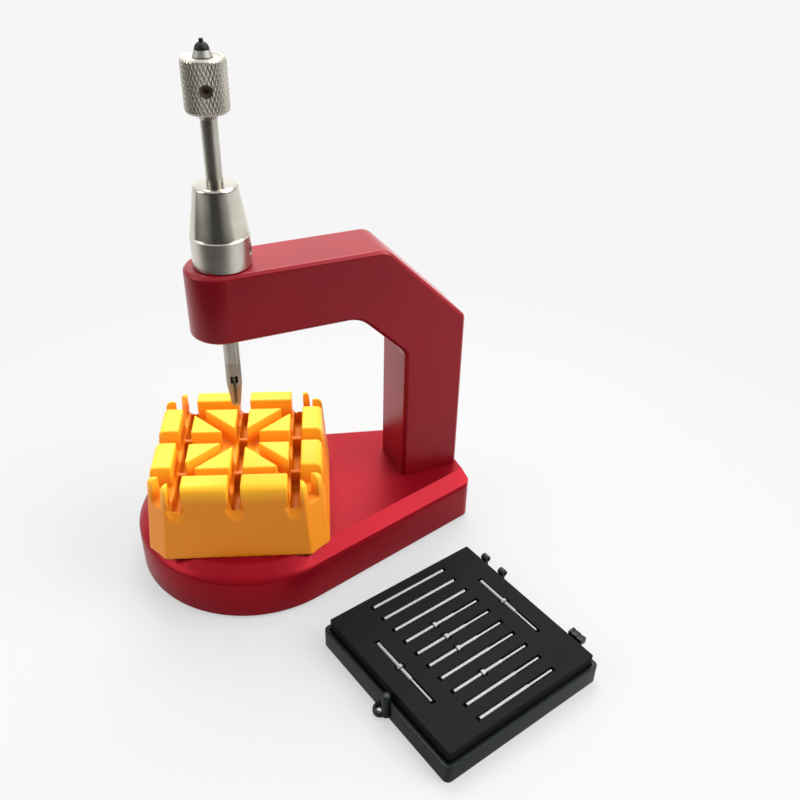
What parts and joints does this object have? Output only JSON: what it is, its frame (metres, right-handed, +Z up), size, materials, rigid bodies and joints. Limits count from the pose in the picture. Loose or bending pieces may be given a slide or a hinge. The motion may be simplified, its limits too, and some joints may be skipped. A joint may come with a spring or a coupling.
{
  "type": "watch strap link pin remover press",
  "caption": "Bench press with a knurled screw handle over a turning slotted strap holder, for pushing link pins out of a watch strap, with a small open box of spare push pins.",
  "frame": {"origin": "on the table plane, under the plunger's axis", "axes": "+X from the plunger's axis back along the arm to the column, +Y to the left seen from the front, +Z up along the plunger's axis"},
  "size_m": [0.1001, 0.1314, 0.1461],
  "materials": {
    "red_enamel": "glossy red enamel on a cast and machined alloy",
    "steel": "satin turned steel",
    "dark_steel": "blackened socket screws",
    "brass": "machined",
    "yellow_plastic": "satin moulded plastic",
    "black_plastic": "moulded plastic",
    "black_rubber": "thin anti-slip sheet"
  },
  "bodies": {
    "frame": {"base_plate": "red_enamel", "base_pad": "black_rubber", "arm_frame": "red_enamel", "column_screws": "dark_steel", "holder_peg": "steel", "guide_bush": "brass", "lock_collar": "steel", "collar_set_screw": "dark_steel", "housing_cone": "steel"},
    "push_pin": {"push_pin": "steel"},
    "spindle": {"spindle": "steel", "knob": "steel", "knob_set_screw": "dark_steel", "end_nut": "steel", "end_cap": "black_plastic", "pin_holder": "steel"},
    "strap_holder": {"strap_holder": "yellow_plastic"},
    "pin_box": {"pin_box_shell": "black_plastic", "pin_box_insert": "black_plastic", "spare_pins_plain": "steel", "spare_pins_stepped": "steel", "spare_pins_collared": "steel"}
  },
  "joints": [
    {"name": "screw_feed", "type": "slide", "parent": "frame", "child": "push_pin", "axis": [0, 0, -1], "range_m": [-0.003, 0.015]},
    {"name": "screw_turn", "type": "hinge", "parent": "push_pin", "child": "spindle", "pos_m": [0, 0, 0.1], "axis": [0, 0, -1], "range_deg": [-1080, 5400]},
    {"name": "holder_swivel", "type": "hinge", "parent": "frame", "child": "strap_holder", "pos_m": [0, 0, 0.0161], "axis": [0, 0, 1], "continuous": true},
    {"name": "box_lift", "type": "slide", "parent": "frame", "child": "pin_box", "axis": [0, 0, 1], "range_m": [0, 0.12]}
  ],
  "couplings": [
    {"joint": "screw_turn", "follows": "screw_feed", "rad_per_m": 6283.2}
  ]
}
